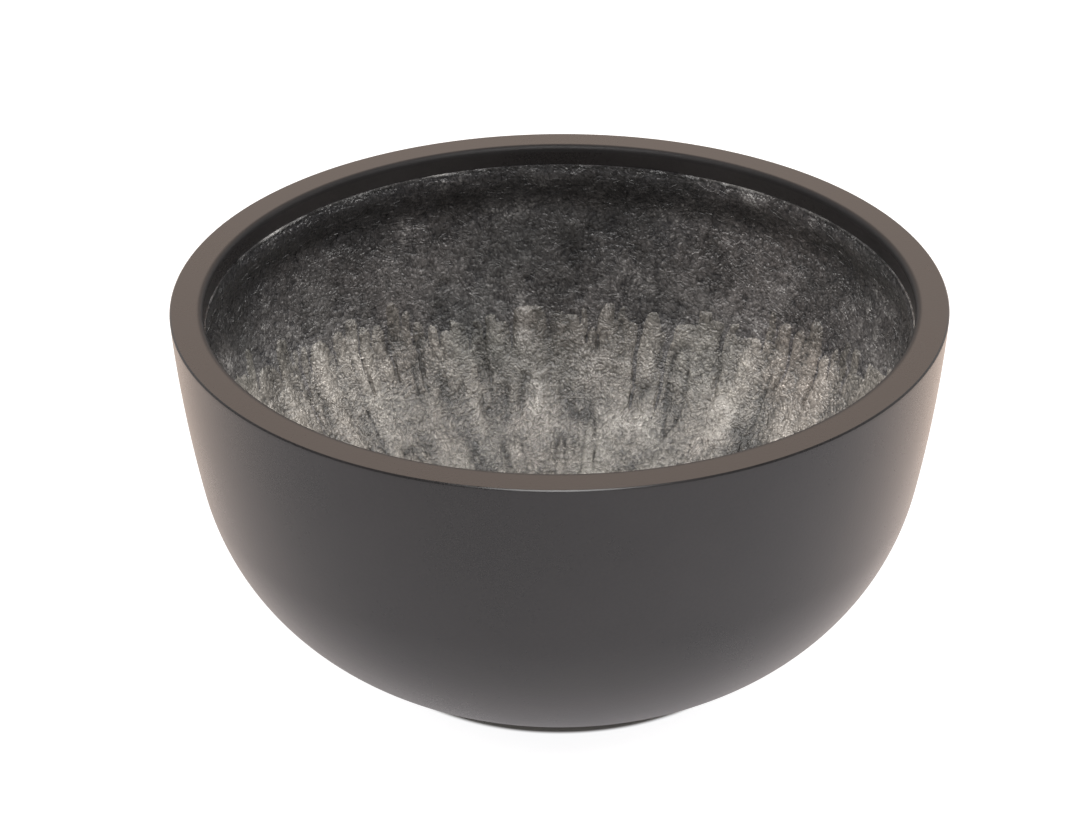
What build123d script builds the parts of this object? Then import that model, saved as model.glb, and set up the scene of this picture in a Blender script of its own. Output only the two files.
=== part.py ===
# Fiberglass bowl planter, standing on its pads: a moulded shell with a flat rim returned inwards,
# packed under the rim and lined by hand with chopped strand mat.
# Millimetres, +Z up. The origin is on the floor, in the middle under the bowl.

import os
from math import asin, atan2, cos, degrees, radians, sin, tan

from build123d import *

# The mould, which gives the outer face
rim_radius = 305.0
shell_height = 295.0
rim_lean = 3.5
wall_bow = 1160.0
knee_height = 152.0
base_inset = 148.0
base_edge_radius = 14.0
rim_edge_chamfer = 1.0

# The shell and its returned rim
skin = 2.8
rim_width = 26.0
lip_drop = 28.0
lip_edge_radius = 3.6

# The packing under the rim, faired down to the wall
fairing_drop = 60.0

# The laminate inside
mat = 2.6
mat_trim_drop = 17.5
mat_floor_radius = 92.0
bond_line = 0.1
panel_count = 3
first_lap_angle = 78.4
lap_width = 42.0
lap_root = 12.0
lap = 1.2

# The floor course, slit into tongues where it climbs the wall
floor_mat = 2.6
floor_mat_climb = 137.0
tongue_count = 60
tongue_tip_chamfer = 8.0
dart_width = 4.0
dart_length = 58.0

# The drain and its stopper
drain_radius = 13.0
plug_fit = 0.08
plug_reach = 2.0
plug_nose_chamfer = 1.2
flange_radius = 23.0
flange = 3.6
flange_edge_chamfer = 1.2
grip_neck_radius = 6.5
grip_neck_length = 5.0
grip_bead_radius = 9.0
grip_bead_length = 7.0
grip_edge_chamfer = 2.0

# The pads under the base
pad_count = 4
pad_radius = 16.0
pad_height = 5.0
pad_circle = 118.0
pad_edge_chamfer = 1.0

# Past any face, for cutting
past = 10.0

underside = pad_height
rim_top = underside + shell_height
knee = underside + knee_height
lip_face = rim_radius - rim_width
shell_floor = underside + skin
drain_floor = shell_floor + bond_line + floor_mat
full_turn = 360.0


def wall_arcs():
    """Centre and radius of the upper arc, then of the lower one, in the half section."""
    lean = radians(rim_lean)
    upper_centre = Vector(rim_radius - wall_bow * cos(lean), 0, rim_top + wall_bow * sin(lean))
    knee_slope = asin((upper_centre.Z - knee) / wall_bow)
    outward = Vector(cos(knee_slope), 0, -sin(knee_slope))
    knee_point = upper_centre + outward * wall_bow
    chord = Vector(rim_radius - base_inset, 0, underside) - knee_point
    lower_radius = chord.dot(chord) / (-2 * chord.dot(outward))
    return upper_centre, wall_bow, knee_point - outward * lower_radius, lower_radius


def on_arc(centre, radius, slope):
    """The point of an arc where the wall leans in by this angle from the vertical."""
    return centre + Vector(cos(slope), 0, -sin(slope)) * radius


def slope_at(centre, radius, height):
    return asin((centre.Z - height) / radius)


def inside_wall(inset, top=rim_top + past):
    """Half section of all that lies inside the outer face moved in by inset, up to top."""
    upper_centre, upper_radius, lower_centre, lower_radius = wall_arcs()
    upper_radius -= inset
    lower_radius -= inset
    floor = underside + inset
    knee_slope = slope_at(upper_centre, wall_bow, knee)
    top_slope = slope_at(upper_centre, upper_radius, top)
    foot_slope = slope_at(lower_centre, lower_radius, floor)
    knee_point = on_arc(lower_centre, lower_radius, knee_slope)
    foot_point = on_arc(lower_centre, lower_radius, foot_slope)
    top_point = on_arc(upper_centre, upper_radius, top_slope)
    outline = [
        ThreePointArc(
            foot_point,
            on_arc(lower_centre, lower_radius, (foot_slope + knee_slope) / 2),
            knee_point,
        ),
        ThreePointArc(
            knee_point,
            on_arc(upper_centre, upper_radius, (knee_slope + top_slope) / 2),
            top_point,
        ),
        Polyline(top_point, (0, 0, top), (0, 0, floor), foot_point),
    ]
    return make_face(outline)


def band(inner, outer, low, high):
    """Half section of a ring, or of a disc where inner is nought."""
    corners = [(inner, 0, low), (outer, 0, low), (outer, 0, high), (inner, 0, high)]
    return make_face(Polyline(*corners, close=True))


def brow(proud):
    """Half section of the rim's build-up, from the lip's face outwards, grown by proud."""
    upper_centre, upper_radius, _, _ = wall_arcs()
    fairing_foot = rim_top - fairing_drop
    foot_slope = slope_at(upper_centre, upper_radius - skin, fairing_foot)
    foot = on_arc(upper_centre, upper_radius - skin, foot_slope)
    undercut = atan2(foot.X - lip_face, fairing_drop - lip_drop)
    corner = Vector(lip_face - proud, 0, rim_top - lip_drop - proud * tan(undercut / 2))
    reach = (rim_radius + past - corner.X) / sin(undercut)
    beyond = corner + Vector(sin(undercut), 0, -cos(undercut)) * reach
    return make_face(
        Polyline(
            (corner.X, 0, rim_top + 2 * past),
            corner,
            beyond,
            (beyond.X, 0, rim_top + 2 * past),
            close=True,
        )
    )


def room(proud):
    """Half section of the space left in the bowl when the lining is proud thick."""
    return inside_wall(skin + proud) - brow(proud)


def corner_at(section, radius, height):
    """The corner of a half section nearest to a radius and height."""
    return section.vertices().sort_by_distance(Vector(radius, 0, height))[0]


def outer_shell():
    """Gel coat and skin: the outer wall, the base, the flat rim and the lip turned down inside."""
    section = inside_wall(0, rim_top) - inside_wall(skin)
    section += band(lip_face, rim_radius, rim_top - skin, rim_top) & inside_wall(0, rim_top)
    section += band(lip_face, lip_face + skin, rim_top - lip_drop, rim_top)
    section = section.clean()
    section = fillet(corner_at(section, lip_face, rim_top), lip_edge_radius)
    section = chamfer(corner_at(section, rim_radius, rim_top), rim_edge_chamfer)
    section = fillet(corner_at(section, rim_radius - base_inset, underside), base_edge_radius)
    shell = revolve(section, Axis.Z)
    drain = Pos(0, 0, underside) * Cylinder(drain_radius, 4 * skin)
    return shell - drain


def rim_core():
    """Packing poured into the turned rim and faired from the lip down to the wall."""
    section = brow(0) & inside_wall(skin + bond_line, rim_top - skin - bond_line)
    behind_lip = lip_face + skin + bond_line
    section -= band(lip_face - past, behind_lip, rim_top - lip_drop - bond_line, rim_top)
    return revolve(section, Axis.Z)


def ply(near, far, low, high):
    """Half section of a layer of the lining, between two depths and two heights."""
    layer = room(near) - room(far)
    return layer & band(mat_floor_radius, rim_radius + past, low, high)


def turned(section, start, stop):
    """A half section revolved from one angle to another, anticlockwise seen from above."""
    return Rot(0, 0, start) * revolve(section, Axis.Z, stop - start)


def wall_mat(number):
    """One panel of wall laminate, with the lap that its edge makes over the next panel."""
    sector = full_turn / panel_count
    lap_turn = degrees(lap_width / lip_face)
    root_turn = degrees(lap_root / lip_face)
    stop = first_lap_angle - lap_turn + sector * number
    trimmed = rim_top - mat_trim_drop
    inner = bond_line + mat
    over = inner + bond_line
    lap_foot = underside + floor_mat_climb + bond_line
    panel = turned(ply(bond_line, inner, underside, trimmed), stop - sector, stop)
    root = turned(ply(inner, over + lap, lap_foot, trimmed), stop - root_turn, stop)
    tail = turned(ply(over, over + lap, lap_foot, trimmed), stop, stop + lap_turn)
    return panel + root + tail


def darts(low_radius, high_radius):
    """The slits between the tongues, each flared at its mouth where the tips are cut off."""
    top = underside + floor_mat_climb
    side = dart_width / 2
    mouth = side + tongue_tip_chamfer
    right_side = [
        (low_radius, 0, top - dart_length),
        (low_radius, side, top - tongue_tip_chamfer),
        (low_radius, mouth, top),
        (low_radius, mouth, top + past),
    ]
    left_side = [(x, -y, z) for x, y, z in reversed(right_side[1:])]
    outline = make_face(Polyline(*right_side, *left_side, close=True))
    wedge = extrude(outline, amount=high_radius - low_radius, dir=(1, 0, 0))
    step = full_turn / tongue_count
    return [Rot(0, 0, step * (number + 0.5)) * wedge for number in range(tongue_count)]


def floor_course():
    """The mat laid last: flat over the drain, up over the wall panels and cut into tongues."""
    near = 2 * bond_line + mat
    well = mat_floor_radius - bond_line
    tall = rim_top + past
    below = room(near) + (room(bond_line) & band(0, well, 0, tall))
    above = room(near + floor_mat) + (room(bond_line + floor_mat) & band(0, well - floor_mat, 0, tall))
    section = (below - above) & band(0, rim_radius, 0, underside + floor_mat_climb)
    section -= band(0, drain_radius, 0, tall)
    course = revolve(section.clean(), Axis.Z)
    inside_tongues = rim_radius - base_inset
    return course - darts(inside_tongues, rim_radius)


def drain_plug():
    """Rubber stopper pushed in from inside, with a flange on the floor and a grip to pull."""
    stem_radius = drain_radius - plug_fit
    stem_low = underside - plug_reach
    flange_top = drain_floor + flange
    bead_low = flange_top + grip_neck_length
    section = band(0, stem_radius, stem_low, drain_floor)
    section += band(0, flange_radius, drain_floor, flange_top)
    section += band(0, grip_neck_radius, flange_top, bead_low)
    section += band(0, grip_bead_radius, bead_low, bead_low + grip_bead_length)
    section = section.clean()
    section = chamfer(corner_at(section, stem_radius, stem_low), plug_nose_chamfer)
    section = chamfer(corner_at(section, flange_radius, flange_top), flange_edge_chamfer)
    for height in (bead_low, bead_low + grip_bead_length):
        section = chamfer(corner_at(section, grip_bead_radius, height), grip_edge_chamfer)
    return revolve(section, Axis.Z)


def foot_pad(number):
    """A rubber pad stuck under the base."""
    section = band(0, pad_radius, 0, pad_height)
    section = chamfer(corner_at(section, pad_radius, 0), pad_edge_chamfer)
    pad = revolve(section, Axis.Z)
    return Rot(0, 0, full_turn / pad_count * (number - 0.5)) * Pos(pad_circle, 0, 0) * pad


def main():
    nodes = {
        "outer_shell": outer_shell(),
        "rim_core": rim_core(),
        "floor_mat": floor_course(),
        "drain_plug": drain_plug(),
    }
    for number in range(1, panel_count + 1):
        nodes[f"wall_mat_{number}"] = wall_mat(number)
    for number in range(1, pad_count + 1):
        nodes[f"foot_pad_{number}"] = foot_pad(number)
    os.makedirs("parts", exist_ok=True)
    for name, shape in nodes.items():
        export_step(shape, f"parts/{name}.step")
        print(name, round(shape.volume), "mm3")


main()
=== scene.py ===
from math import asin, atan, cos, pi, radians, sin, tan

import bmesh
import bpy
import numpy as np
from mathutils import Matrix, Vector


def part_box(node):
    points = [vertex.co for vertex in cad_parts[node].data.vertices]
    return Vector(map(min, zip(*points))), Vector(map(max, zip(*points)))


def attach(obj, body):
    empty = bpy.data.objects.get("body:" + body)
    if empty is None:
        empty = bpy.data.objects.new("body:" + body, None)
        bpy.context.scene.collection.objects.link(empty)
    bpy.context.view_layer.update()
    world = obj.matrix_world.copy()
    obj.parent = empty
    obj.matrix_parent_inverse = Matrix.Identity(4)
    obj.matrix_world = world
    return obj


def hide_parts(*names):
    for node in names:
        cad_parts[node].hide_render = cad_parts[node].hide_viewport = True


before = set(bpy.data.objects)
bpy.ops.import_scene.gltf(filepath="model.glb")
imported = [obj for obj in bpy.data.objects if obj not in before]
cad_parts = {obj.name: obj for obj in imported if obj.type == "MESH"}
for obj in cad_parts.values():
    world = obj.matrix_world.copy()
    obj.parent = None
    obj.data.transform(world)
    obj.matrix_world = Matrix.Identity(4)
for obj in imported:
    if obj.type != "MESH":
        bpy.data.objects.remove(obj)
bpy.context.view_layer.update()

# The moulding: one hand-laid fibreglass skin with a satin, near-black gel coat, swept round from a flat
# base to an almost upright wall. The rim is turned in flat and down again as a short lip. Its outer edge
# has a small flat chamfer and its lip is eased by hand. A drain hole goes through the base.
mm = 0.001
shell_low, shell_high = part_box("outer_shell")
underside = shell_low.z
rim_top = shell_high.z
rim_radius = shell_high.x
skin = 2.8 * mm
rim_width = 26 * mm
lip_face = rim_radius - rim_width
lip_drop = 28 * mm
lip_edge_radius = 3.6 * mm
rim_edge_radius = 1.1 * mm
arris_radius = 0.4 * mm
base_edge_radius = 14 * mm
base_radius = 157 * mm
knee = 157 * mm
wall_bow = 1160 * mm
rim_lean = radians(3.5)
drain_radius = 13 * mm


def wall_arcs():
    """Centre and radius of the wall's long upper arc and its short lower one, outer face."""
    upper = np.array([rim_radius - wall_bow * cos(rim_lean), rim_top + wall_bow * sin(rim_lean)])
    slope = asin((upper[1] - knee) / wall_bow)
    outward = np.array([cos(slope), -sin(slope)])
    knee_point = upper + outward * wall_bow
    chord = np.array([base_radius, underside]) - knee_point
    lower_radius = chord @ chord / (-2 * (chord @ outward))
    return upper, wall_bow, knee_point - outward * lower_radius, lower_radius


upper_centre, upper_radius, lower_centre, lower_radius = wall_arcs()


def wall_curve(depth, low, high, step):
    """Points up the wall, this deep under its outer face, from one height to another."""
    points = []
    for centre, radius, bottom, top in (
        (lower_centre, lower_radius - depth, low, min(high, knee)),
        (upper_centre, upper_radius - depth, max(low, knee), high),
    ):
        if top <= bottom:
            continue
        first = asin((centre[1] - bottom) / radius)
        last = asin((centre[1] - top) / radius)
        count = max(2, int(abs(first - last) * radius / step) + 1)
        for share in np.linspace(0, 1, count):
            slope = first + (last - first) * share
            points.append(centre + radius * np.array([cos(slope), -sin(slope)]))
    return points


def straight(start, stop, step):
    """Points from one to the other, ends included."""
    start, stop = np.array(start), np.array(stop)
    count = max(2, int(np.linalg.norm(stop - start) / step) + 1)
    return [start + (stop - start) * share for share in np.linspace(0, 1, count)]


def eased(points, corner, radius, steps=5):
    """A polyline with its corner nearest to this point rounded off."""
    points = [np.array(p) for p in points]
    at = int(np.argmin([np.linalg.norm(p - np.array(corner)) for p in points]))
    tip = points[at]
    last = len(points)
    into = points[at - 1] - tip
    away = points[(at + 1) % last] - tip
    into, away = into / np.linalg.norm(into), away / np.linalg.norm(away)
    half = np.arccos(np.clip(into @ away, -1, 1)) / 2
    setback = radius / tan(half)
    before, after = at - 1, at + 1
    while np.linalg.norm(points[before] - tip) < 1.02 * setback:
        before -= 1
    while np.linalg.norm(points[after % last] - tip) < 1.02 * setback:
        after += 1
    start, stop = tip + into * setback, tip + away * setback
    middle = tip + (into + away) / np.linalg.norm(into + away) * radius / sin(half)
    arc = []
    for share in np.linspace(0, 1, steps):
        spoke = (start - middle) * (1 - share) + (stop - middle) * share
        arc.append(middle + spoke / np.linalg.norm(spoke) * radius)
    return points[: before + 1] + arc + points[after:]


def dedupe(points, nearest=0.05 * mm):
    """The points without those that repeat the one before."""
    kept = [points[0]]
    for p in points[1:]:
        if np.linalg.norm(p - kept[-1]) > nearest:
            kept.append(p)
    return kept


wall_step = 4.5 * mm
hidden_step = 24 * mm
outline = straight((drain_radius, underside), (base_radius, underside), 9 * mm)
outline += wall_curve(0, underside, rim_top, wall_step)
outline += straight((rim_radius, rim_top), (lip_face, rim_top), 1.5 * mm)
outline += straight((lip_face, rim_top), (lip_face, rim_top - lip_drop), 2 * mm)
outline += straight((lip_face, rim_top - lip_drop), (lip_face + skin, rim_top - lip_drop), 2 * mm)
lip_back = (lip_face + skin, rim_top - skin)
outline += straight((lip_face + skin, rim_top - lip_drop), lip_back, hidden_step)
hidden_wall = wall_curve(skin, underside + skin, rim_top - skin, hidden_step)
outline += straight(lip_back, hidden_wall[-1], hidden_step)
outline += hidden_wall[::-1]
outline += straight((hidden_wall[0][0], underside + skin), (drain_radius, underside + skin), hidden_step)
outline = dedupe(outline)
outline = eased(outline, (rim_radius, rim_top), rim_edge_radius, steps=2)
outline = eased(outline, (rim_radius, rim_top - rim_edge_radius), arris_radius, steps=3)
outline = eased(outline, (rim_radius - rim_edge_radius, rim_top), arris_radius, steps=3)
outline = eased(outline, (lip_face, rim_top), lip_edge_radius, steps=7)
outline = eased(outline, (base_radius, underside), base_edge_radius, steps=9)
outline = dedupe(outline)


def mesh_object(name, vertices, faces, edges=()):
    mesh = bpy.data.meshes.new(name)
    mesh.from_pydata([tuple(map(float, v)) for v in vertices], list(edges), [tuple(f) for f in faces])
    made = bpy.data.objects.new(name, mesh)
    bpy.context.scene.collection.objects.link(made)
    return made


class Tree:
    """A geometry or shader node tree being written, from left to right."""

    def __init__(self, nodes, links):
        self.nodes, self.links, self.column = nodes, links, 0

    def add(self, kind, settings=None, **inputs):
        """Adds a node. An input is a value, or another node's output socket."""
        node = self.nodes.new(kind)
        node.location = (self.column, 0)
        self.column += 180
        for key, value in (settings or {}).items():
            setattr(node, key, value)
        for key, value in inputs.items():
            name = key.replace("_", " ").strip()
            self.put(node, int(name) if name.isdigit() else name, value)
        return node

    def put(self, node, name, value):
        socket = node.inputs[name]
        if isinstance(value, bpy.types.NodeSocket):
            self.links.new(value, socket)
        else:
            socket.default_value = value

    def math(self, operation, a, b=0.0, c=0.0):
        node = self.add("ShaderNodeMath", {"operation": operation})
        for number, value in enumerate((a, b, c)):
            self.put(node, number, value)
        return node.outputs[0]

    def vector(self, operation, a, b=(0, 0, 0)):
        node = self.add("ShaderNodeVectorMath", {"operation": operation})
        self.put(node, 0, a)
        self.put(node, 1, b)
        return node.outputs[0]


def geometry_tree(name, sizes):
    """A geometry node group with the named sizes, whole numbers or objects as its inputs."""
    group = bpy.data.node_groups.new(name, "GeometryNodeTree")
    group.interface.new_socket("Geometry", in_out="INPUT", socket_type="NodeSocketGeometry")
    for label, value in sizes.items():
        kind = {int: "NodeSocketInt", float: "NodeSocketFloat"}.get(type(value), "NodeSocketObject")
        if isinstance(value, bpy.types.Material):
            kind = "NodeSocketMaterial"
        group.interface.new_socket(label, in_out="INPUT", socket_type=kind)
    group.interface.new_socket("Geometry", in_out="OUTPUT", socket_type="NodeSocketGeometry")
    tree = Tree(group.nodes, group.links)
    return group, tree, tree.add("NodeGroupInput").outputs


def finish_tree(tree, geometry, material):
    """The end of every tree: real geometry, its material, and out."""
    real = tree.add("GeometryNodeRealizeInstances", Geometry=geometry)
    set_material = tree.add("GeometryNodeSetMaterial", Geometry=real.outputs[0], Material=material)
    tree.add("NodeGroupOutput", Geometry=set_material.outputs[0])


def grown(holder, group, sizes):
    """The plain mesh that a tree with these inputs grows from the holder, which is deleted."""
    modifier = holder.modifiers.new(group.name, "NODES")
    modifier.node_group = group
    for item in group.interface.items_tree:
        if item.in_out == "INPUT" and item.name in sizes:
            modifier[item.identifier] = sizes[item.name]
    bpy.context.view_layer.update()
    evaluated = holder.evaluated_get(bpy.context.evaluated_depsgraph_get())
    mesh = bpy.data.meshes.new_from_object(evaluated)
    if mesh.materials[0] is None:
        mesh.materials.pop(index=0)
    name = holder.name
    holder.modifiers.remove(modifier)
    bpy.data.objects.remove(holder)
    mesh.name = name
    made = bpy.data.objects.new(name, mesh)
    bpy.context.scene.collection.objects.link(made)
    return made


def smooth(piece, angle=radians(60)):
    """Smooth shading, with faces outwards."""
    scratch = bmesh.new()
    scratch.from_mesh(piece.data)
    bmesh.ops.recalc_face_normals(scratch, faces=scratch.faces)
    for edge in scratch.edges:
        edge.smooth = len(edge.link_faces) == 2 and edge.calc_face_angle(0) < angle
    for face in scratch.faces:
        face.smooth = True
    scratch.to_mesh(piece.data)
    scratch.free()
    return piece


def shader(name):
    """A new material and its tree, with the Principled shader ready."""
    material = bpy.data.materials.new(name)
    material.use_nodes = True
    tree = Tree(material.node_tree.nodes, material.node_tree.links)
    return material, tree, material.node_tree.nodes["Principled BSDF"]


def soft_ramp(tree, value, low, high, start=0.0):
    """A smooth rise from start to 1 as the value goes from low to high."""
    ramp = tree.add("ShaderNodeMapRange", {"interpolation_type": "SMOOTHSTEP"}, Value=value)
    for label, number in (("From Min", low), ("From Max", high), ("To Min", start)):
        ramp.inputs[label].default_value = number
    return ramp.outputs[0]


def gel_coat_material():
    """Satin near-black gel coat: a soft mottle, fine grain, a few dark specks, and a lip edge sanded
    dull.
    """
    material, tree, skin_shader = shader("gel coat")
    place = tree.add("ShaderNodeTexCoord").outputs["Object"]
    mottle = tree.add("ShaderNodeTexNoise", Vector=place, Scale=9.0, Detail=4.0, Roughness=0.55)
    grain = tree.add("ShaderNodeTexNoise", Vector=place, Scale=420.0, Detail=2.0)
    uneven = tree.math("ADD", mottle.outputs[0], tree.math("MULTIPLY_ADD", grain.outputs[0], 0.6, -0.3))
    tint = tree.add("ShaderNodeValToRGB", Fac=uneven)
    tint.color_ramp.elements[0].position = 0.25
    tint.color_ramp.elements[0].color = (0.0085, 0.0076, 0.0080, 1)
    tint.color_ramp.elements[1].position = 0.75
    tint.color_ramp.elements[1].color = (0.0150, 0.0134, 0.0138, 1)
    # A few small near-black specks scattered over the gel coat.
    dark_specks = tree.add("ShaderNodeTexVoronoi", Vector=place, Scale=34.0)
    dark_speck = tree.math("LESS_THAN", dark_specks.outputs["Distance"], 0.035)
    chosen = tree.add("ShaderNodeSeparateColor", Color=dark_specks.outputs["Color"])
    dark_speck = tree.math("MULTIPLY", dark_speck, tree.math("GREATER_THAN", chosen.outputs[0], 0.82))
    spotted = tree.add("ShaderNodeMix", {"data_type": "RGBA"}, Factor=dark_speck)
    tree.links.new(tint.outputs[0], spotted.inputs[6])
    spotted.inputs[7].default_value = (0.004, 0.004, 0.004, 1)
    tree.put(skin_shader, "Base Color", spotted.outputs[2])
    rough = tree.math("MULTIPLY_ADD", uneven, 0.10, 0.24)
    flat_place = tree.vector("MULTIPLY", place, (1, 1, 0))
    radius = tree.add("ShaderNodeVectorMath", {"operation": "LENGTH"}, _0=flat_place).outputs["Value"]
    sanded = soft_ramp(tree, radius, lip_face + 5.5 * mm, lip_face + 2.5 * mm)
    height = tree.add("ShaderNodeSeparateXYZ", Vector=place).outputs["Z"]
    on_edge = tree.math("GREATER_THAN", height, rim_top - 1.6 * lip_edge_radius)
    sanded = tree.math("MULTIPLY", tree.math("MULTIPLY", sanded, on_edge), 0.30)
    tree.put(skin_shader, "Roughness", tree.math("ADD", rough, sanded))
    bump = tree.add("ShaderNodeBump", Strength=0.10, Distance=0.0004, Height=grain.outputs[0])
    tree.put(skin_shader, "Normal", bump.outputs[0])
    skin_shader.inputs["IOR"].default_value = 1.5
    return material


gel_coat = gel_coat_material()
shell_sizes = {"Turns": 360, "Material": gel_coat}
turned, tree, given = geometry_tree("turned section", shell_sizes)
count = tree.add("GeometryNodeAttributeDomainSize", {"component": "MESH"}, Geometry=given["Geometry"])
columns = tree.math("ADD", given["Turns"], 1)
rows = tree.math("ADD", count.outputs["Point Count"], 1)
grid = tree.add("GeometryNodeMeshGrid", Vertices_X=columns, Vertices_Y=rows)
index = tree.add("GeometryNodeInputIndex").outputs[0]
column = tree.math("FLOOR", tree.math("DIVIDE", tree.math("ADD", index, 0.5), rows))
row = tree.math("SUBTRACT", index, tree.math("MULTIPLY", column, rows))
row = tree.math("MODULO", row, count.outputs["Point Count"])
spot = tree.add("GeometryNodeInputPosition").outputs[0]
section_point = tree.add(
    "GeometryNodeSampleIndex",
    {"data_type": "FLOAT_VECTOR"},
    Geometry=given["Geometry"],
    Value=spot,
    Index=row,
)
turn = tree.math("MULTIPLY", column, tree.math("DIVIDE", 2 * pi, given["Turns"]))
round_axis = tree.add(
    "ShaderNodeVectorRotate", {"rotation_type": "Z_AXIS"}, Vector=section_point.outputs[0], Angle=turn
)
placed = tree.add("GeometryNodeSetPosition", Geometry=grid.outputs[0], Position=round_axis.outputs[0])
closed = tree.add("GeometryNodeMergeByDistance", Geometry=placed.outputs[0], Distance=0.00001)
finish_tree(tree, closed.outputs[0], given["Material"])

section_points = [(p[0], 0, p[1]) for p in outline]
section_edges = [(i, (i + 1) % len(outline)) for i in range(len(outline))]
shell = grown(mesh_object("moulded_shell", section_points, [], section_edges), turned, shell_sizes)
smooth(shell, radians(80))
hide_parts("outer_shell")
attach(shell, "bowl")

# The lining: chopped strand mat wetted out by hand with charcoal resin. The wall is laid in three
# panels, each lapping a little over the next, and trimmed to a clean edge just under the lip.
# It follows the packing that fairs the back of the lip down to the wall.
trim_drop = 17.5 * mm
fairing_drop = 60 * mm
floor_top = underside + skin
fairing_bend = 34 * mm
floor_bend = 40 * mm


def lining_line():
    """The line that the lining is laid on, from the trimmed edge down the wall and in to the drain."""
    foot = wall_curve(skin, rim_top - fairing_drop, rim_top, wall_step)[0]
    corner = (lip_face, rim_top - lip_drop)
    line = straight((lip_face, rim_top - trim_drop), corner, 1 * mm)
    line += straight(corner, foot, 1 * mm)
    line += wall_curve(skin, floor_top, rim_top - fairing_drop, 1 * mm)[::-1]
    turn_in = line[-1]
    line += straight(turn_in, (drain_radius, floor_top), 1 * mm)
    line = eased(dedupe(line), corner, fairing_bend, steps=12)
    line = eased(dedupe(line), foot, fairing_bend, steps=12)
    return np.array(dedupe(eased(dedupe(line), turn_in, floor_bend, steps=24)))


laid_on = lining_line()
laid_along = np.concatenate([[0], np.cumsum(np.linalg.norm(np.diff(laid_on, axis=0), axis=1))])
laid_length = laid_along[-1]
heading = np.gradient(laid_on, laid_along, axis=0)
facing = np.stack([heading[:, 1], -heading[:, 0]], axis=1)
facing /= np.linalg.norm(facing, axis=1)[:, None]


def on_lining(along, turn, depth):
    """Points this deep over the line, at a length along it and a turn round the bowl."""
    radius = np.interp(along, laid_along, laid_on[:, 0])
    height = np.interp(along, laid_along, laid_on[:, 1])
    inward = np.interp(along, laid_along, facing[:, 0])
    upward = np.interp(along, laid_along, facing[:, 1])
    radius = radius + inward * depth
    return np.stack([radius * np.cos(turn), radius * np.sin(turn), height + upward * depth], axis=-1)


def at_height(height):
    """The length along the lining's line at which it comes down to this height."""
    return float(np.interp(-height, -laid_on[:, 1], laid_along))


lattice = np.random.default_rng(12).random((64, 64, 64))


def cloud(points, cell, seed=0):
    """Smooth noise from 0 to 1 over points, its blobs about one cell across."""
    spot = points / cell + 17.3 * (seed + 1)
    low = np.floor(spot).astype(int)
    part = spot - low
    part = part * part * (3 - 2 * part)
    total = 0
    for corner in range(8):
        step = np.array([corner >> 2 & 1, corner >> 1 & 1, corner & 1])
        x, y, z = np.moveaxis((low + step) % 64, -1, 0)
        weight = np.where(step == 1, part, 1 - part).prod(axis=-1)
        total = total + lattice[x, y, z] * weight
    return total


def ridges(points, cell, seed=0):
    """Thin crests, from 0 to 1, where the cloud passes its middle value."""
    return 1 - np.abs(2 * cloud(points, cell, seed) - 1)


def clamp(value, low=0.0, high=1.0):
    return np.minimum(np.maximum(value, low), high)


def step_up(value):
    """A soft step from 0 to 1."""
    value = clamp(value)
    return value * value * (3 - 2 * value)


def unrolled(along, turn, stretch):
    """Points on a plain cylinder of the wall's radius, whose noise is stretched down the lining."""
    wall_radius = 280 * mm
    return np.stack([wall_radius * np.cos(turn), wall_radius * np.sin(turn), along / stretch], axis=-1)


def hand_laid(along, turn):
    """How rough the wetted mat lies, in metres over its mean: lumps, pulled strands and fine fibre."""
    spot = on_lining(along, turn, np.zeros_like(along))
    pulled = unrolled(along, turn, 2.6)
    lumps = cloud(spot, 26 * mm, 1) - 0.5
    small = cloud(spot, 9 * mm, 2) - 0.5
    crests = ridges(spot, 5.5 * mm, 3) ** 3
    pulls = cloud(pulled, 6 * mm, 4) - 0.5
    return (1.1 * lumps + 0.9 * small + 0.55 * crests + 0.7 * pulls) * mm


def sheet_mesh(name, front, back, marks, ends_closed):
    """A closed sheet from a grid of front points and one of back points, with its marks as attributes.

    Both are (columns, rows, 3) grids. The rows are joined at top and bottom. Where the columns don't
    go all the way round, each end is closed with one face.
    """
    columns, rows = front.shape[:2]
    loop = np.concatenate([front, back[:, ::-1]], axis=1)
    each = loop.shape[1]
    index = np.arange(columns * each).reshape(columns, each)
    across = np.roll(index, -1, axis=0) if not ends_closed else index[1:]
    here = index if not ends_closed else index[:-1]
    quads = np.stack([here, across, np.roll(across, -1, axis=1), np.roll(here, -1, axis=1)], axis=-1)
    faces = [tuple(q) for q in quads.reshape(-1, 4).tolist()]
    if ends_closed:
        faces += [tuple(index[0].tolist()), tuple(index[-1, ::-1].tolist())]
    made = mesh_object(name, loop.reshape(-1, 3), faces)
    for mark, values in marks.items():
        full = np.repeat(values[:, :1], each, axis=1)
        full[:, :rows] = values
        layer = made.data.attributes.new(mark, "FLOAT", "POINT")
        layer.data.foreach_set("value", full.reshape(-1).astype(np.float32))
    return smooth(made)


panel_count = 3
first_lap = radians(78.4)
lap_width = 42 * mm
lap_root = 12 * mm
mat = 2.6 * mm
bond = 0.1 * mm
lap = 1.3 * mm
grain_step = 1.9 * mm
lap_turn = lap_width / lip_face
root_turn = lap_root / lip_face
sector = 2 * pi / panel_count
tongues_top = at_height(142 * mm)
covered = at_height(66 * mm)
wall_bottom = at_height(floor_top + 0.2 * mm) + 40 * mm

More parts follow.
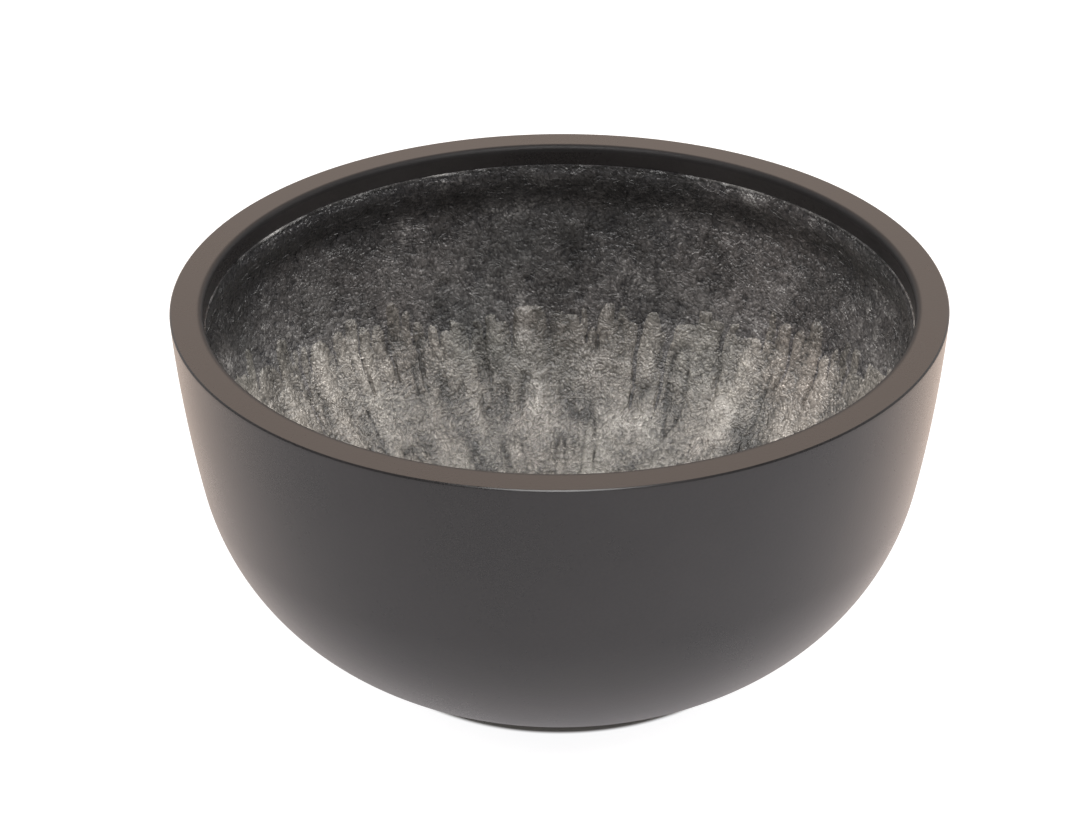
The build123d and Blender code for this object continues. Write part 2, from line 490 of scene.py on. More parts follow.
panels = []
for number in range(1, panel_count + 1):
    stop = first_lap - lap_turn + sector * number
    start = stop - sector
    turns = np.linspace(start, stop + lap_turn, int((sector + lap_turn) * lip_face / grain_step))
    shown_rows = np.linspace(0, covered, int(covered / grain_step))
    hidden_rows = np.linspace(covered, wall_bottom, 10)[1:]
    along = np.concatenate([shown_rows, hidden_rows])
    turn, down = np.meshgrid(turns, along, indexing="ij")
    ragged = (cloud(on_lining(np.zeros_like(turns), turns, 0 * turns), 14 * mm, 5) - 0.5) * 1.6 * mm
    down = down + ragged[:, None] * clamp(1 - down / (12 * mm))
    over = step_up((turn - stop + root_turn) / root_turn)
    edge_in = (stop + lap_turn - turn) * lip_face
    feather = step_up(edge_in / (5 * mm + 3 * mm * cloud(on_lining(down, turn, 0 * down), 10 * mm, 6)))
    roughness = hand_laid(down, turn)
    settled = clamp(down / (5 * mm)) * 0.75 + 0.25
    thick = mat * (0.4 + 0.6 * step_up(down / (9 * mm))) + (bond + lap) * over * feather
    front_depth = bond + thick + roughness * settled * (1 - 0.5 * over)
    front = on_lining(down, turn, front_depth)
    back_rows = np.linspace(0, wall_bottom, 16)
    back_turn, back_down = np.meshgrid(turns, back_rows, indexing="ij")
    back_depth = bond + (mat - 0.6 * mm) * step_up((back_turn - stop) / (2 * mm / lip_face))
    back = on_lining(back_down, back_turn, back_depth)
    # A painted line of shade just under the trimmed edge, where it tucks under the lip.
    under_trim = step_up(1.1 - np.abs(down - 2.4 * mm) / (1.3 * mm))
    # A random wander for the lower edge of the painted shade.
    shade_edge_wander = cloud(on_lining(down, turn, 0 * down), 45 * mm, 8) * 60 * mm
    marks = {
        "relief": clamp(0.5 + roughness / (2.4 * mm)),
        "shows": ((down > 2.5 * mm) & (down < covered)).astype(float),
        # painted shade: darker high on the wall under the lip, most on the left and least on the right
        "rich": step_up((96 * mm + shade_edge_wander - down) / (118 * mm)) * clamp(0.7 - 0.4 * np.cos(turn)),
        # painted light: lighter lower down the wall, and far lighter at the sides than at the back
        "worn": step_up((down - tongues_top + 80 * mm) / (95 * mm)) * (0.10 + 0.85 * np.cos(turn) ** 2),
        "trim": (down < 0.8 * mm).astype(float),
        # painted shade: a dark line under the trim and along each panel's lapping edge
        "crease": np.maximum(under_trim, 0.7 * step_up(1.3 - edge_in / (1.9 * mm))),
    }
    panel = sheet_mesh(f"wall_panel_{number}", front, back, marks, True)
    panels.append(panel)

# The floor course: the mat laid last. It covers the floor and climbs the wall, and as it's flat mat on a
# round wall, its edge is slit and pulled into tongues, which the roller has smeared and rounded.
course_back = bond + mat + bond
course_mat = 2.4 * mm
sunk = 1.2 * mm
girth_radius = 272 * mm
tips = np.random.default_rng(7)
girth = 2 * pi * girth_radius
edges = [0.0]
while edges[-1] < girth:
    edges.append(edges[-1] + tips.choice([1, 1, 1, 2]) * tips.uniform(9, 17) * mm)
edges = np.array(edges) * girth / edges[-1]
finger_count = len(edges) - 1
side_climb = 42 * mm
finger_tip = tips.normal(0, 9 * mm, finger_count)
finger_cut = tips.uniform(10, 26, finger_count + 1) * mm
long_cuts = tips.random(finger_count + 1) < 0.35
finger_cut[long_cuts] += tips.uniform(25, 60, long_cuts.sum()) * mm
finger_cut[-1] = finger_cut[0]
cut_width = tips.uniform(1.0, 2.2, finger_count + 1) * (tips.random(finger_count + 1) > 0.25) * mm
cut_width[-1] = cut_width[0]


def course_cover(along, turn):
    """Where the floor course covers the wall: 1 on its tongues, 0 above them and in their slits."""
    spot = on_lining(along, turn, np.zeros_like(along))
    wander = (cloud(spot, 30 * mm, 11) - 0.5) * 9 * mm + (cloud(spot, 9 * mm, 12) - 0.5) * 3 * mm
    across = (turn * girth_radius + wander) % girth
    finger = clamp(np.searchsorted(edges, across, side="right") - 1, 0, finger_count - 1).astype(int)
    left, right = across - edges[finger], edges[finger + 1] - across
    swing = (cloud(on_lining(0 * along, turn, 0 * along), 75 * mm, 13) - 0.5) * 16 * mm
    swing = swing - side_climb * np.cos(turn) ** 2
    below = along - (tongues_top + finger_tip[finger] + swing)
    half = (left + right) / 2
    rounding = np.sqrt(clamp(1 - (1 - clamp(below / (1.3 * half))) ** 2))
    slit_left = cut_width[finger] * clamp(1.4 - below / finger_cut[finger]) / 1.4
    slit_right = cut_width[finger + 1] * clamp(1.4 - below / finger_cut[finger + 1]) / 1.4
    slit_left, slit_right = np.maximum(slit_left, -mm), np.maximum(slit_right, -mm)
    open_left = np.where(slit_left > 0.05 * mm, left - slit_left, 4 * mm)
    open_right = np.where(slit_right > 0.05 * mm, right - slit_right, 4 * mm)
    inside = np.minimum(open_left, open_right) - (1 - rounding) * half
    return step_up(inside / (2.2 * mm) + 0.3) * step_up(below / (3 * mm))


turns = np.linspace(0, 2 * pi, 840, endpoint=False)
band_top = tongues_top - 62 * mm
floor_edge = at_height(floor_top + 1.5 * mm)
band_rows = np.linspace(band_top, floor_edge, 88)
disc_rows = np.linspace(floor_edge, laid_length, 18)[1:]
turn, down = np.meshgrid(turns, np.concatenate([band_rows, disc_rows]), indexing="ij")
cover = course_cover(down, turn)
roughness = hand_laid(down, turn)
spot = on_lining(down, turn, 0 * down)
gathers = unrolled(down, turn, 5)
fold = (cloud(gathers, 13 * mm, 21) - 0.5) * 2.2 * mm * clamp((floor_edge + 20 * mm - down) / (60 * mm))
near_drain = clamp((laid_length - down) / (14 * mm))
waves = unrolled(down, turn, 3.2)
waves = waves + (spot - 0.5 * waves) * 0.12
wrinkle = ridges(waves, 17 * mm, 22) ** 14 * step_up((cloud(spot, 38 * mm, 23) - 0.30) / 0.35)
wrinkle = wrinkle * clamp((floor_edge - 10 * mm - down) / (30 * mm))
wrinkle = wrinkle * clamp((down - tongues_top) / (16 * mm))
thinned = course_mat * (0.45 + 0.55 * step_up((down - tongues_top) / (34 * mm)))
rough_top = (roughness * 1.1 + fold) * cover * near_drain
front_depth = sunk + (course_back + thinned - sunk) * cover + rough_top
front_depth = front_depth - 1.3 * mm * wrinkle * cover
front = on_lining(down, turn, front_depth)
back_turn, back_down = np.meshgrid(turns, np.linspace(band_top, laid_length, 7), indexing="ij")
back = on_lining(back_down, back_turn, np.full_like(back_down, 0.5 * mm))
beside = np.cos(turn) ** 2
deep = step_up((down - tongues_top - 40 * mm) / (60 * mm))
# Painted shade: dims the floor, more at the sides, and the tongues at the back.
painted_dimming = (1 - (0.14 + 0.24 * beside) * deep) * (1 - 0.85 * clamp(np.sin(turn)) ** 18 * (1 - deep))
marks = {
    "relief": clamp(0.5 + (roughness + fold) / (3.0 * mm) - 0.4 * wrinkle),
    # painted shade in the wrinkles
    "crease": 0.75 * wrinkle,
    "shows": (cover > 0.6) * (laid_length - down > 12 * mm).astype(float),
    # painted light: lighter lower down, starting higher up at the sides, less the painted shade above
    "worn": step_up((down - tongues_top + 24 * mm + side_climb * beside) / (66 * mm)) * painted_dimming,
}
course = sheet_mesh("floor_course", front, back, marks, False)


def shader_group(name, inputs, outputs):
    """A shader node group with named inputs, numbers or colours, and named outputs."""
    group = bpy.data.node_groups.new(name, "ShaderNodeTree")
    for label, value in inputs.items():
        kind = "NodeSocketFloat" if isinstance(value, float) else "NodeSocketColor"
        made = group.interface.new_socket(label, in_out="INPUT", socket_type=kind)
        made.default_value = value if isinstance(value, float) else (*value, 1)
    for label, kind in outputs.items():
        group.interface.new_socket(label, in_out="OUTPUT", socket_type=kind)
    tree = Tree(group.nodes, group.links)
    return group, tree, tree.add("NodeGroupInput").outputs


def bundles(tree, place, cell, pitch):
    """Bundles of parallel fibre: each cell of a Voronoi pattern is ridged in a direction of its own."""
    cells = tree.add("ShaderNodeTexVoronoi", Vector=place, Scale=1 / cell)
    lie = tree.vector("NORMALIZE", tree.vector("SUBTRACT", cells.outputs["Color"], (0.5, 0.5, 0.5)))
    inside = tree.vector("SUBTRACT", place, cells.outputs["Position"])
    across = tree.add("ShaderNodeVectorMath", {"operation": "DOT_PRODUCT"}, _0=inside, _1=lie)
    wave = tree.math("SINE", tree.math("MULTIPLY", across.outputs["Value"], 2 * pi / pitch))
    return tree.math("MULTIPLY_ADD", wave, 0.5, 0.5)


def strand_mat():
    """Strand mat in charcoal resin: pale glass bundles and crumbs, and dark resin lying in the hollows.

    The sheets' attributes steer it: how high the mat lies, a painted shade that darkens it high on the
    wall, a painted light that lightens it low down and at the sides, its cut edge, and a painted dark
    line of shade along the laps, the trim and the wrinkles. Pale glass on the dry high points is partly
    a painted glint.
    """
    looks = {
        "Resin": (0.02, 0.02, 0.02),
        "Warm": (0.2, 0.2, 0.2),
        "Green": (0.2, 0.2, 0.2),
        "Glass": (0.4, 0.4, 0.4),
        "Silver": 0.3,
    }
    ends = {
        "Base Color": "NodeSocketColor",
        "Roughness": "NodeSocketFloat",
        "Metallic": "NodeSocketFloat",
        "Height": "NodeSocketFloat",
    }
    group, tree, given = shader_group("strand mat", looks, ends)
    place = tree.add("ShaderNodeTexCoord").outputs["Object"]
    relief, rich, worn, trim, crease = (
        tree.add("ShaderNodeAttribute", {"attribute_name": name}).outputs["Fac"]
        for name in ("relief", "rich", "worn", "trim", "crease")
    )
    patches = tree.add("ShaderNodeTexNoise", Vector=place, Scale=7.0, Detail=3.0).outputs[0]
    stains = tree.add("ShaderNodeTexNoise", Vector=place, Scale=19.0, Detail=3.0, Distortion=0.6)
    stains = stains.outputs[0]
    fine = tree.add("ShaderNodeTexNoise", Vector=place, Scale=300.0, Detail=2.0, Roughness=0.6)
    fine = fine.outputs[0]
    bend = tree.add("ShaderNodeTexNoise", Vector=place, Scale=75.0, Detail=1.0).outputs["Color"]
    bend = tree.vector("SUBTRACT", bend, (0.5, 0.5, 0.5))
    bend = tree.add("ShaderNodeVectorMath", {"operation": "SCALE"}, _0=bend, Scale=7 * mm).outputs[0]
    bent = tree.vector("ADD", place, bend)
    small = bundles(tree, bent, 7 * mm, 2.3 * mm)
    broad = bundles(tree, tree.vector("ADD", bent, (3.1, 1.7, 0.4)), 12 * mm, 3.6 * mm)
    woven = tree.math("MULTIPLY", tree.math("ADD", small, broad), 0.5)
    crumbs = tree.add("ShaderNodeTexVoronoi", Vector=bent, Scale=1 / (2.6 * mm))
    crumb = tree.math("SUBTRACT", 0.75, crumbs.outputs["Distance"])
    own = tree.add("ShaderNodeSeparateColor", Color=crumbs.outputs["Color"]).outputs
    raised = tree.math("MULTIPLY_ADD", woven, 0.16, tree.math("MULTIPLY_ADD", relief, 0.62, 0.04))
    crumb_height = tree.math("MULTIPLY", crumb, tree.math("MULTIPLY_ADD", own[0], 0.5, 0.15))
    raised = tree.math("ADD", raised, crumb_height)
    raised = tree.math("ADD", raised, tree.math("MULTIPLY_ADD", fine, 0.7, -0.35))
    depth = tree.add("ShaderNodeMapRange", Value=raised)
    depth.inputs["From Min"].default_value, depth.inputs["From Max"].default_value = 0.22, 0.92
    tone = tree.add("ShaderNodeMix", {"data_type": "RGBA"}, Factor=patches)
    tree.links.new(given["Warm"], tone.inputs[6])
    tree.links.new(given["Green"], tone.inputs[7])
    # Dark resin in the hollows, and painted shade high on the wall.
    showing = tree.math("MULTIPLY", depth.outputs[0], tree.math("MULTIPLY_ADD", rich, -0.88, 1.0))
    blend = tree.add("ShaderNodeMix", {"data_type": "RGBA"}, Factor=showing)
    tree.links.new(given["Resin"], blend.inputs[6])
    tree.links.new(tone.outputs[2], blend.inputs[7])
    own_tone = tree.math("MULTIPLY_ADD", own[1], 0.5, tree.math("MULTIPLY_ADD", stains, 1.5, 0.0))
    body = tree.add("ShaderNodeVectorMath", {"operation": "SCALE"}, _0=blend.outputs[2])
    # Made lighter where the painted light lies.
    tree.put(body, "Scale", tree.math("MULTIPLY", own_tone, tree.math("MULTIPLY_ADD", worn, 0.62, 0.42)))
    dry = soft_ramp(tree, stains, 0.46, 0.78)
    # Pale dry glass on the high points: real dry glass, and partly a painted glint.
    glinting_crest = soft_ramp(tree, raised, 0.62, 1.0)
    unshaded = tree.math("MULTIPLY_ADD", rich, -0.6, 1.0)
    pale = tree.math("MULTIPLY", tree.math("MULTIPLY", dry, glinting_crest), unshaded)
    flecks = tree.math("MULTIPLY", tree.math("MULTIPLY", trim, dry), 0.8)
    pale = tree.math("MAXIMUM", pale, flecks)
    colour = tree.add("ShaderNodeMix", {"data_type": "RGBA"}, Factor=pale)
    tree.links.new(body.outputs[0], colour.inputs[6])
    tree.links.new(given["Glass"], colour.inputs[7])
    # The painted shade line: near black under the trim, along the laps and in the wrinkles.
    creased = tree.add("ShaderNodeMix", {"data_type": "RGBA"}, Factor=tree.math("MULTIPLY", crease, 0.9))
    tree.links.new(colour.outputs[2], creased.inputs[6])
    creased.inputs[7].default_value = (0.004, 0.004, 0.004, 1)
    rough = tree.add("ShaderNodeMapRange", Value=patches, To_Min=0.24, To_Max=0.46).outputs[0]
    silver = tree.math("MULTIPLY", tree.math("POWER", own[2], 2.0), given["Silver"])
    silver = tree.math("MULTIPLY", silver, tree.math("SUBTRACT", 1.0, crease))
    out = tree.add("NodeGroupOutput", Base_Color=creased.outputs[2])
    for label, value in (("Roughness", rough), ("Metallic", silver), ("Height", raised)):
        tree.put(out, label, value)
    return group


mat_group = strand_mat()


def laminate_material(name, look):
    """A laminate whose look is the named colours and numbers of the strand mat group."""
    material, tree, skin_shader = shader(name)
    mixed = tree.add("ShaderNodeGroup", {"node_tree": mat_group})
    for label, value in look.items():
        mixed.inputs[label].default_value = value if isinstance(value, float) else (*value, 1)
    for label in ("Base Color", "Roughness", "Metallic"):
        tree.put(skin_shader, label, mixed.outputs[label])
    bump = tree.add("ShaderNodeBump", Strength=1.0, Distance=1.3 * mm, Height=mixed.outputs["Height"])
    tree.put(skin_shader, "Normal", bump.outputs[0])
    skin_shader.inputs["IOR"].default_value = 1.6
    return material


wall_look = {
    "Resin": (0.036, 0.036, 0.041),
    "Warm": (0.330, 0.280, 0.268),
    "Green": (0.226, 0.240, 0.238),
    "Glass": (0.36, 0.35, 0.34),
    "Silver": 0.5,
}
# The floor course's look is lighter than the wall's: partly a different layer of mat, and partly painted
# light, as the floor faces up to the lamps.
course_look = {
    "Resin": (0.090, 0.086, 0.082),
    "Warm": (0.450, 0.370, 0.325),
    "Green": (0.330, 0.345, 0.318),
    "Glass": (0.56, 0.53, 0.51),
    "Silver": 0.5,
}
wall_finish = laminate_material("wall laminate", wall_look)
course_finish = laminate_material("floor laminate", course_look)
for number, panel in enumerate(panels, 1):
    panel.data.materials.append(wall_finish)
    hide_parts(f"wall_mat_{number}")
    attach(panel, "bowl")
course.data.materials.append(course_finish)
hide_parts("floor_mat")
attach(course, "bowl")

# The loose strands: bundles of glass fibre, chopped short, that stand proud where the roller left them.
# They lie at every angle, half sunk in the resin, and curl over the lumps of the mat.
strand_sizes = {
    "Density": 20000.0,
    "Shortest": 5 * mm,
    "Longest": 14 * mm,
    "Thickness": 1.7 * mm,
    "Curl": 6 * mm,
    "Sunk": 0.50 * mm,
    "Seed": 5,
    "Material": wall_finish,
}
group, tree, given = geometry_tree("chopped strands", strand_sizes)
shows = tree.add("GeometryNodeInputNamedAttribute", {"data_type": "FLOAT"}, Name="shows").outputs[0]
dense = tree.math("MULTIPLY", given["Density"], shows)
fallen = tree.add(
    "GeometryNodeDistributePointsOnFaces", Mesh=given["Geometry"], Density=dense, Seed=given["Seed"]
)
bundle = tree.add("GeometryNodeCurvePrimitiveLine", Start=(-0.5, 0, 0), End=(0.5, 0, 0))
bundle = tree.add("GeometryNodeResampleCurve", Curve=bundle.outputs[0], Count=5)
spin = tree.add("FunctionNodeRandomValue", {"data_type": "FLOAT"}, Seed=given["Seed"])
spin.inputs[2].default_value, spin.inputs[3].default_value = 0, 2 * pi
spun = tree.add("ShaderNodeCombineXYZ", Z=spin.outputs[1])
lie = tree.add(
    "FunctionNodeRotateRotation",
    {"rotation_space": "LOCAL"},
    Rotation=fallen.outputs["Rotation"],
    Rotate_By=spun.outputs[0],
)
length = tree.add("FunctionNodeRandomValue", {"data_type": "FLOAT"}, Seed=given["Seed"])
tree.links.new(given["Shortest"], length.inputs[2])
tree.links.new(given["Longest"], length.inputs[3])
stretch = tree.add("ShaderNodeCombineXYZ", X=length.outputs[1], Y=1.0, Z=1.0)
laid = tree.add(
    "GeometryNodeInstanceOnPoints",
    Points=fallen.outputs["Points"],
    Instance=bundle.outputs[0],
    Rotation=lie.outputs[0],
    Scale=stretch.outputs[0],
)
strands = tree.add("GeometryNodeRealizeInstances", Geometry=laid.outputs[0])
spot = tree.add("GeometryNodeInputPosition").outputs[0]
drift = tree.add("ShaderNodeTexNoise", Vector=spot, Scale=95.0, Detail=1.0)
drift = tree.vector("SUBTRACT", drift.outputs["Color"], (0.5, 0.5, 0.5))
drift = tree.add("ShaderNodeVectorMath", {"operation": "SCALE"}, _0=drift, Scale=given["Curl"])
curled = tree.add("GeometryNodeSetPosition", Geometry=strands.outputs[0], Offset=drift.outputs[0])
spot = tree.add("GeometryNodeInputPosition").outputs[0]
surface = tree.add(
    "GeometryNodeProximity", {"target_element": "FACES"}, Target=given["Geometry"], Source_Position=spot
)
normal = tree.add("GeometryNodeInputNormal").outputs[0]
up = tree.add(
    "GeometryNodeSampleNearestSurface",
    {"data_type": "FLOAT_VECTOR"},
    Mesh=given["Geometry"],
    Value=normal,
    Sample_Position=spot,
)
along = tree.add("GeometryNodeSplineParameter").outputs["Factor"]
end = tree.math("ABSOLUTE", tree.math("MULTIPLY_ADD", along, 2.0, -1.0))
dive = tree.math("POWER", end, 4.0)
lift = tree.math("MULTIPLY", tree.math("MULTIPLY_ADD", dive, 1.2, 1.0), given["Sunk"])
lift = tree.math("MULTIPLY", lift, -1.0)
sink = tree.add("ShaderNodeVectorMath", {"operation": "SCALE"}, _0=up.outputs[0], Scale=lift)
rest = tree.vector("ADD", surface.outputs["Position"], sink.outputs[0])
settled = tree.add("GeometryNodeSetPosition", Geometry=curled.outputs[0], Position=rest)
weight = tree.math("SUBTRACT", 1.0, tree.math("MULTIPLY", dive, 0.6))
weighed = tree.add("GeometryNodeSetCurveRadius", Curve=settled.outputs[0], Radius=weight)
half_thick = tree.math("MULTIPLY", given["Thickness"], 0.5)
bore = tree.add("GeometryNodeCurvePrimitiveCircle", Resolution=4, Radius=half_thick)
tubes = tree.add(
    "GeometryNodeCurveToMesh", Curve=weighed.outputs[0], Profile_Curve=bore.outputs[0], Fill_Caps=True
)
finish_tree(tree, tubes.outputs[0], given["Material"])


def scattered(name, sheet, finish, changes):
    """Strands over a sheet of the lining, which ride and are finished as it is."""
    holder = bpy.data.objects.new(name, sheet.data)
    bpy.context.scene.collection.objects.link(holder)
    strands = grown(holder, group, strand_sizes | {"Material": finish} | changes)
    smooth(strands)
    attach(strands, "bowl")


for number, panel in enumerate(panels, 1):
    scattered(f"wall_strands_{number}", panel, wall_finish, {"Seed": number})
scattered("floor_strands", course, course_finish, {"Seed": 9, "Density": 9000.0})

# The packing: resin putty poured into the turned rim and faired by hand down to the wall. The lining
# covers it, and it keeps its CAD form.


def plain_material(name, dark, pale, roughness, grain, depth):
    """One colour with a soft mottle and a fine grain."""
    material, tree, skin_shader = shader(name)
    place = tree.add("ShaderNodeTexCoord").outputs["Object"]
    mottle = tree.add("ShaderNodeTexNoise", Vector=place, Scale=40.0, Detail=4.0).outputs[0]
    grains = tree.add("ShaderNodeTexNoise", Vector=place, Scale=grain, Detail=3.0).outputs[0]
    colour = tree.add("ShaderNodeMix", {"data_type": "RGBA"}, Factor=mottle)
    colour.inputs[6].default_value = (*dark, 1)
    colour.inputs[7].default_value = (*pale, 1)
    tree.put(skin_shader, "Base Color", colour.outputs[2])
    tree.put(skin_shader, "Roughness", tree.math("MULTIPLY_ADD", grains, 0.2, roughness))
    bump = tree.add("ShaderNodeBump", Strength=0.6, Distance=depth, Height=grains)
    tree.put(skin_shader, "Normal", bump.outputs[0])
    return material


def finish_cad(node, material):
    """Gives a CAD node that is kept as it is its procedural material."""
    piece = bpy.data.objects[node]
    piece.data.materials.clear()
    piece.data.materials.append(material)


putty = plain_material("resin putty", (0.16, 0.15, 0.13), (0.24, 0.22, 0.19), 0.6, 500.0, 0.3 * mm)

finish_cad("rim_core", putty)

# The drain plug: a moulded rubber stopper. Its stem is pushed into the hole from inside, its flange
# lies on the floor, and its grip is a mushroom to pull it by. Its corners are round from the mould.
plug_low, plug_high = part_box("drain_plug")
course_floor = underside + skin + bond + 2.6 * mm
flange_top = course_floor + 3.6 * mm
bead_low = flange_top + 5 * mm


def turned_piece(name, corners, material, turns, centre=(0, 0)):
    """A piece turned from the corners of its half section, each with the radius it's rounded by."""
    section = []
    for (start, _), (stop, _) in zip(corners, corners[1:]):
        section += straight(start, stop, 1.5 * mm)
    section = dedupe(section)
    for corner, radius in corners:
        if radius:
            section = eased(section, corner, radius, steps=6)
    section = dedupe(section)
    sizes = {"Turns": turns, "Material": material}
    lines = [(i, i + 1) for i in range(len(section) - 1)] + [(len(section) - 1, 0)]
    piece = grown(mesh_object(name, [(p[0], 0, p[1]) for p in section], [], lines), turned, sizes)
    piece.data.transform(Matrix.Translation((*centre, 0)))
    return smooth(piece, radians(50))


plug_rubber = plain_material(
    "plug rubber", (0.018, 0.018, 0.018), (0.030, 0.029, 0.028), 0.5, 260.0, 0.15 * mm
)
pad_rubber = plain_material(
    "pad rubber", (0.014, 0.014, 0.014), (0.024, 0.024, 0.023), 0.65, 420.0, 0.2 * mm
)
stem = drain_radius - 0.08 * mm
plug_corners = [
    ((0, plug_low.z), 0),
    ((stem, plug_low.z), 1.1 * mm),
    ((stem, course_floor), 0),
    ((plug_high.x, course_floor), 0.8 * mm),
    ((plug_high.x, flange_top), 1.1 * mm),
    ((6.5 * mm, flange_top), 1.6 * mm),
    ((6.5 * mm, bead_low), 1.0 * mm),
    ((9 * mm, bead_low), 1.6 * mm),
    ((9 * mm, plug_high.z), 2.2 * mm),
    ((0, plug_high.z), 0),
]
plug = turned_piece("rubber_plug", plug_corners, plug_rubber, 72)
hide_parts("drain_plug")
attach(plug, "plug")

# The pads: four discs of soft rubber stuck under the base, which hold it off the floor so that the
# drain can run.
pad_radius = 16 * mm
for number in range(1, 5):
    low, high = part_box(f"foot_pad_{number}")
    centre = ((low.x + high.x) / 2, (low.y + high.y) / 2)
    pad_corners = [
        ((0, 0), 0),
        ((pad_radius, 0), 0.9 * mm),
        ((pad_radius, underside), 0),
        ((0, underside), 0),
    ]
    pad = turned_piece(f"rubber_pad_{number}", pad_corners, pad_rubber, 48, centre)
    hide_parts(f"foot_pad_{number}")
    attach(pad, "bowl")

# The floor and the light: a pale floor under soft studio light.
horizon = 12.0
floor = mesh_object(
    "studio_floor",
    [(-horizon, -horizon, 0), (horizon, -horizon, 0), (horizon, horizon, 0), (-horizon, horizon, 0)],
    [(0, 1, 2, 3)],
)


def seen_white(tree):
    """One where the camera, a glossy ray or a ray through glass looks, and nought for soft light."""
    light_path = tree.add("ShaderNodeLightPath").outputs
    seen = tree.math("MAXIMUM", light_path["Is Camera Ray"], light_path["Is Glossy Ray"])
    return tree.math("MAXIMUM", seen, light_path["Is Transmission Ray"])


material, tree, paint = shader("studio floor")
paint.inputs["Roughness"].default_value = 0.9
paint.inputs["Specular IOR Level"].default_value = 0.0
place = tree.add("ShaderNodeTexCoord").outputs["Object"]
away = tree.add("ShaderNodeVectorMath", {"operation": "LENGTH"}, _0=place).outputs["Value"]
# Painted shadow: the floor's glow is held back under the bowl, inside this ring, so the floor shows dark
# there.
clear = soft_ramp(tree, away, 0.1670, 0.1720)
camera_only = tree.add("ShaderNodeLightPath").outputs["Is Camera Ray"]
seen = tree.math("MULTIPLY", seen_white(tree), clear)
# Painted shadow and shade, seen only in reflections: the floor's glow is dimmer near the bowl and
# towards the left.
near = tree.add("ShaderNodeMapRange", Value=away, From_Min=0.17, From_Max=0.34, To_Min=0.66)
left = tree.add("ShaderNodeSeparateXYZ", Vector=place).outputs["X"]
left = tree.add("ShaderNodeMapRange", Value=left, From_Min=-0.45, From_Max=0.2, To_Min=0.78)
dimmed = tree.math("MAXIMUM", tree.math("MULTIPLY", near.outputs[0], left.outputs[0]), camera_only)
tree.put(paint, "Emission Strength", tree.math("MULTIPLY", seen, tree.math("MULTIPLY", dimmed, 0.86)))
spot = tree.add("ShaderNodeSeparateXYZ", Vector=place).outputs
# Painted light, seen in reflections: the floor's glow is cool in front and warm behind.
behind = soft_ramp(tree, spot["Y"], -0.38, 0.40)
lit = tree.add("ShaderNodeMix", {"data_type": "RGBA"}, Factor=behind)
lit.inputs[6].default_value = (0.86, 0.86, 0.93, 1)
lit.inputs[7].default_value = (1.26, 0.97, 0.80, 1)
burnt_out = tree.add("ShaderNodeMix", {"data_type": "RGBA"}, Factor=camera_only)
tree.links.new(lit.outputs[2], burnt_out.inputs[6])
burnt_out.inputs[7].default_value = (1.08, 1.08, 1.09, 1)
tree.put(paint, "Emission Color", burnt_out.outputs[2])
pale = tree.add("ShaderNodeMix", {"data_type": "RGBA"}, Factor=seen)
pale.inputs[6].default_value = (0.80, 0.76, 0.72, 1)
pale.inputs[7].default_value = (0.31, 0.29, 0.28, 1)
tree.put(paint, "Base Color", pale.outputs[2])
floor.data.materials.append(material)

world = bpy.data.worlds.new("studio")
world.use_nodes = True
bpy.context.scene.world = world
tree = Tree(world.node_tree.nodes, world.node_tree.links)
background = world.node_tree.nodes["Background"]
way = tree.add("ShaderNodeTexCoord").outputs["Generated"]
rise = tree.add("ShaderNodeSeparateXYZ", Vector=way).outputs["Z"]
ceiling = soft_ramp(tree, rise, 0.5, 0.72)
low_wall = tree.add("ShaderNodeMapRange", Value=rise, From_Min=0.40, From_Max=0.50, To_Min=0.82)
ahead = tree.add("ShaderNodeSeparateXYZ", Vector=way).outputs["Y"]
dark_front = soft_ramp(tree, ahead, -0.1, 0.7, start=0.3)
dark_above = tree.math("MULTIPLY", tree.math("MULTIPLY_ADD", ceiling, -0.5, 1.0), low_wall.outputs[0])
mirrored_room = tree.math("MULTIPLY", dark_above, dark_front)
straight_seen = tree.add("ShaderNodeLightPath").outputs["Is Camera Ray"]
soft = tree.math("SUBTRACT", 1.0, seen_white(tree))
room = tree.math("MULTIPLY", tree.math("MAXIMUM", mirrored_room, straight_seen), seen_white(tree))
tree.put(background, "Strength", tree.math("MAXIMUM", tree.math("MULTIPLY", soft, 0.5), room))
background.inputs["Color"].default_value = (1.0, 0.99, 0.98, 1)


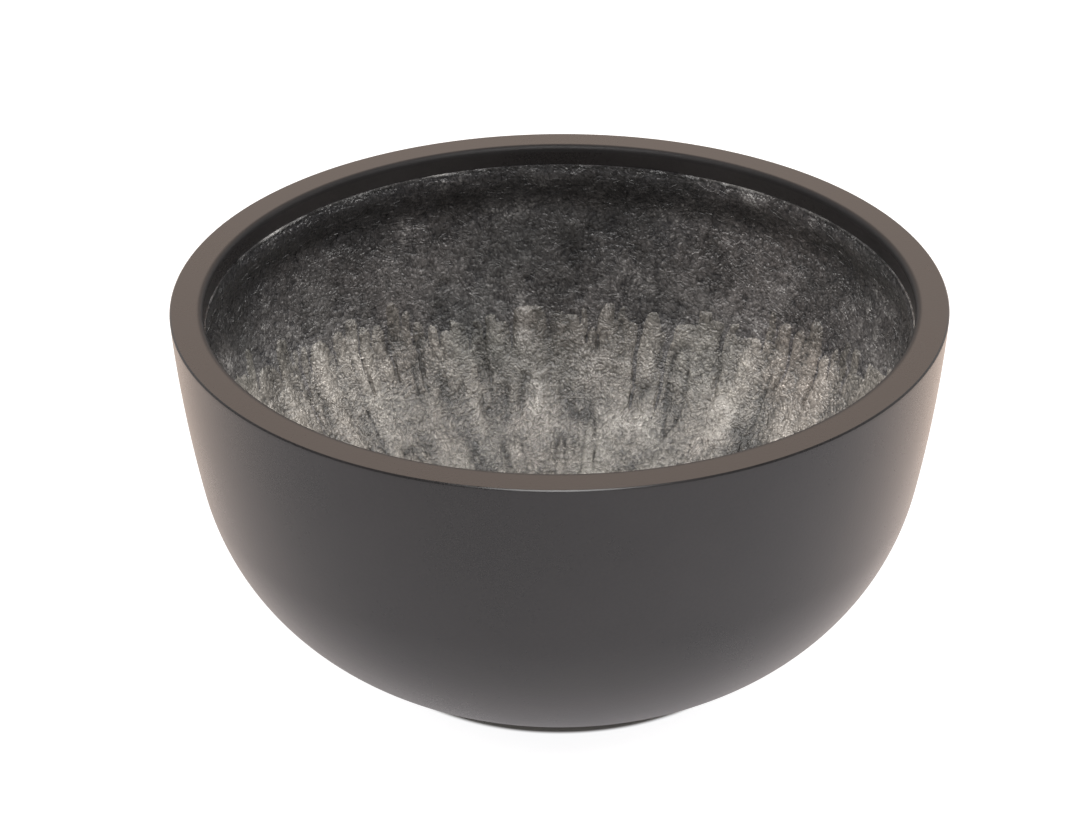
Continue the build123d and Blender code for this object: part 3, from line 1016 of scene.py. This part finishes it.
def soft_box(name, place, aim, size, power, colour):
    lamp = bpy.data.lights.new(name, "AREA")
    lamp.shape = "DISK"
    lamp.size = size
    lamp.energy = power
    lamp.color = colour
    made = bpy.data.objects.new(name, lamp)
    made.location = place
    made.rotation_euler = (Vector(aim) - Vector(place)).to_track_quat("-Z", "Y").to_euler()
    bpy.context.scene.collection.objects.link(made)
    return made


# The glossy moulding gets the side lamps' light but not their mirror images, which are flagged off it.
for side in (-1, 1):
    for mirrored, share in ((True, "EXCLUDE"), (False, "INCLUDE")):
        lamp = soft_box(
            "side lamp", (1.7 * side, -0.15, 1.4), (-0.1 * side, 0.1, 0.1), 1.4, 34, (1.0, 0.98, 0.95)
        )
        lamp.visible_glossy = mirrored
        flagged = bpy.data.collections.new("flagged moulding")
        flagged.objects.link(shell)
        flagged.collection_objects[0].light_linking.link_state = share
        lamp.light_linking.receiver_collection = flagged
soft_box("front lamp", (0.0, -1.43, 2.53), (0, -0.3, 0.3), 1.3, 44, (1.0, 0.99, 0.98))
soft_box("warm lamp behind", (0, 3.2, 2.3), (0, 0, 0.3), 3.2, 15, (1.0, 0.54, 0.26))

# The camera stands where the photograph was taken from, above the bowl and a little to the left.
camera_height_angle = radians(27.09)
camera_distance = 2.589
focal_pixels = 3295.0
rim_centre_pixel = (559.6, 293.8)
picture_width, picture_height = 1080, 816
camera_roll = radians(0.22)
lens = bpy.data.cameras.new("camera")
lens.sensor_width = 36
lens.lens = focal_pixels / picture_width * lens.sensor_width
camera = bpy.data.objects.new("camera", lens)
bpy.context.scene.collection.objects.link(camera)
pitch = atan((picture_height / 2 - rim_centre_pixel[1]) / focal_pixels)
yaw = atan((rim_centre_pixel[0] - picture_width / 2) / focal_pixels)
camera.matrix_world = (
    Matrix.Translation(
        Vector((0, 0, rim_top))
        + camera_distance * Vector((0, -cos(camera_height_angle), sin(camera_height_angle)))
    )
    @ Matrix.Rotation(pi / 2 - camera_height_angle - pitch, 4, "X")
    @ Matrix.Rotation(yaw, 4, "Y")
    @ Matrix.Rotation(-camera_roll, 4, "Z")
)
bpy.context.scene.camera = camera
bpy.context.scene.view_settings.view_transform = "Standard"
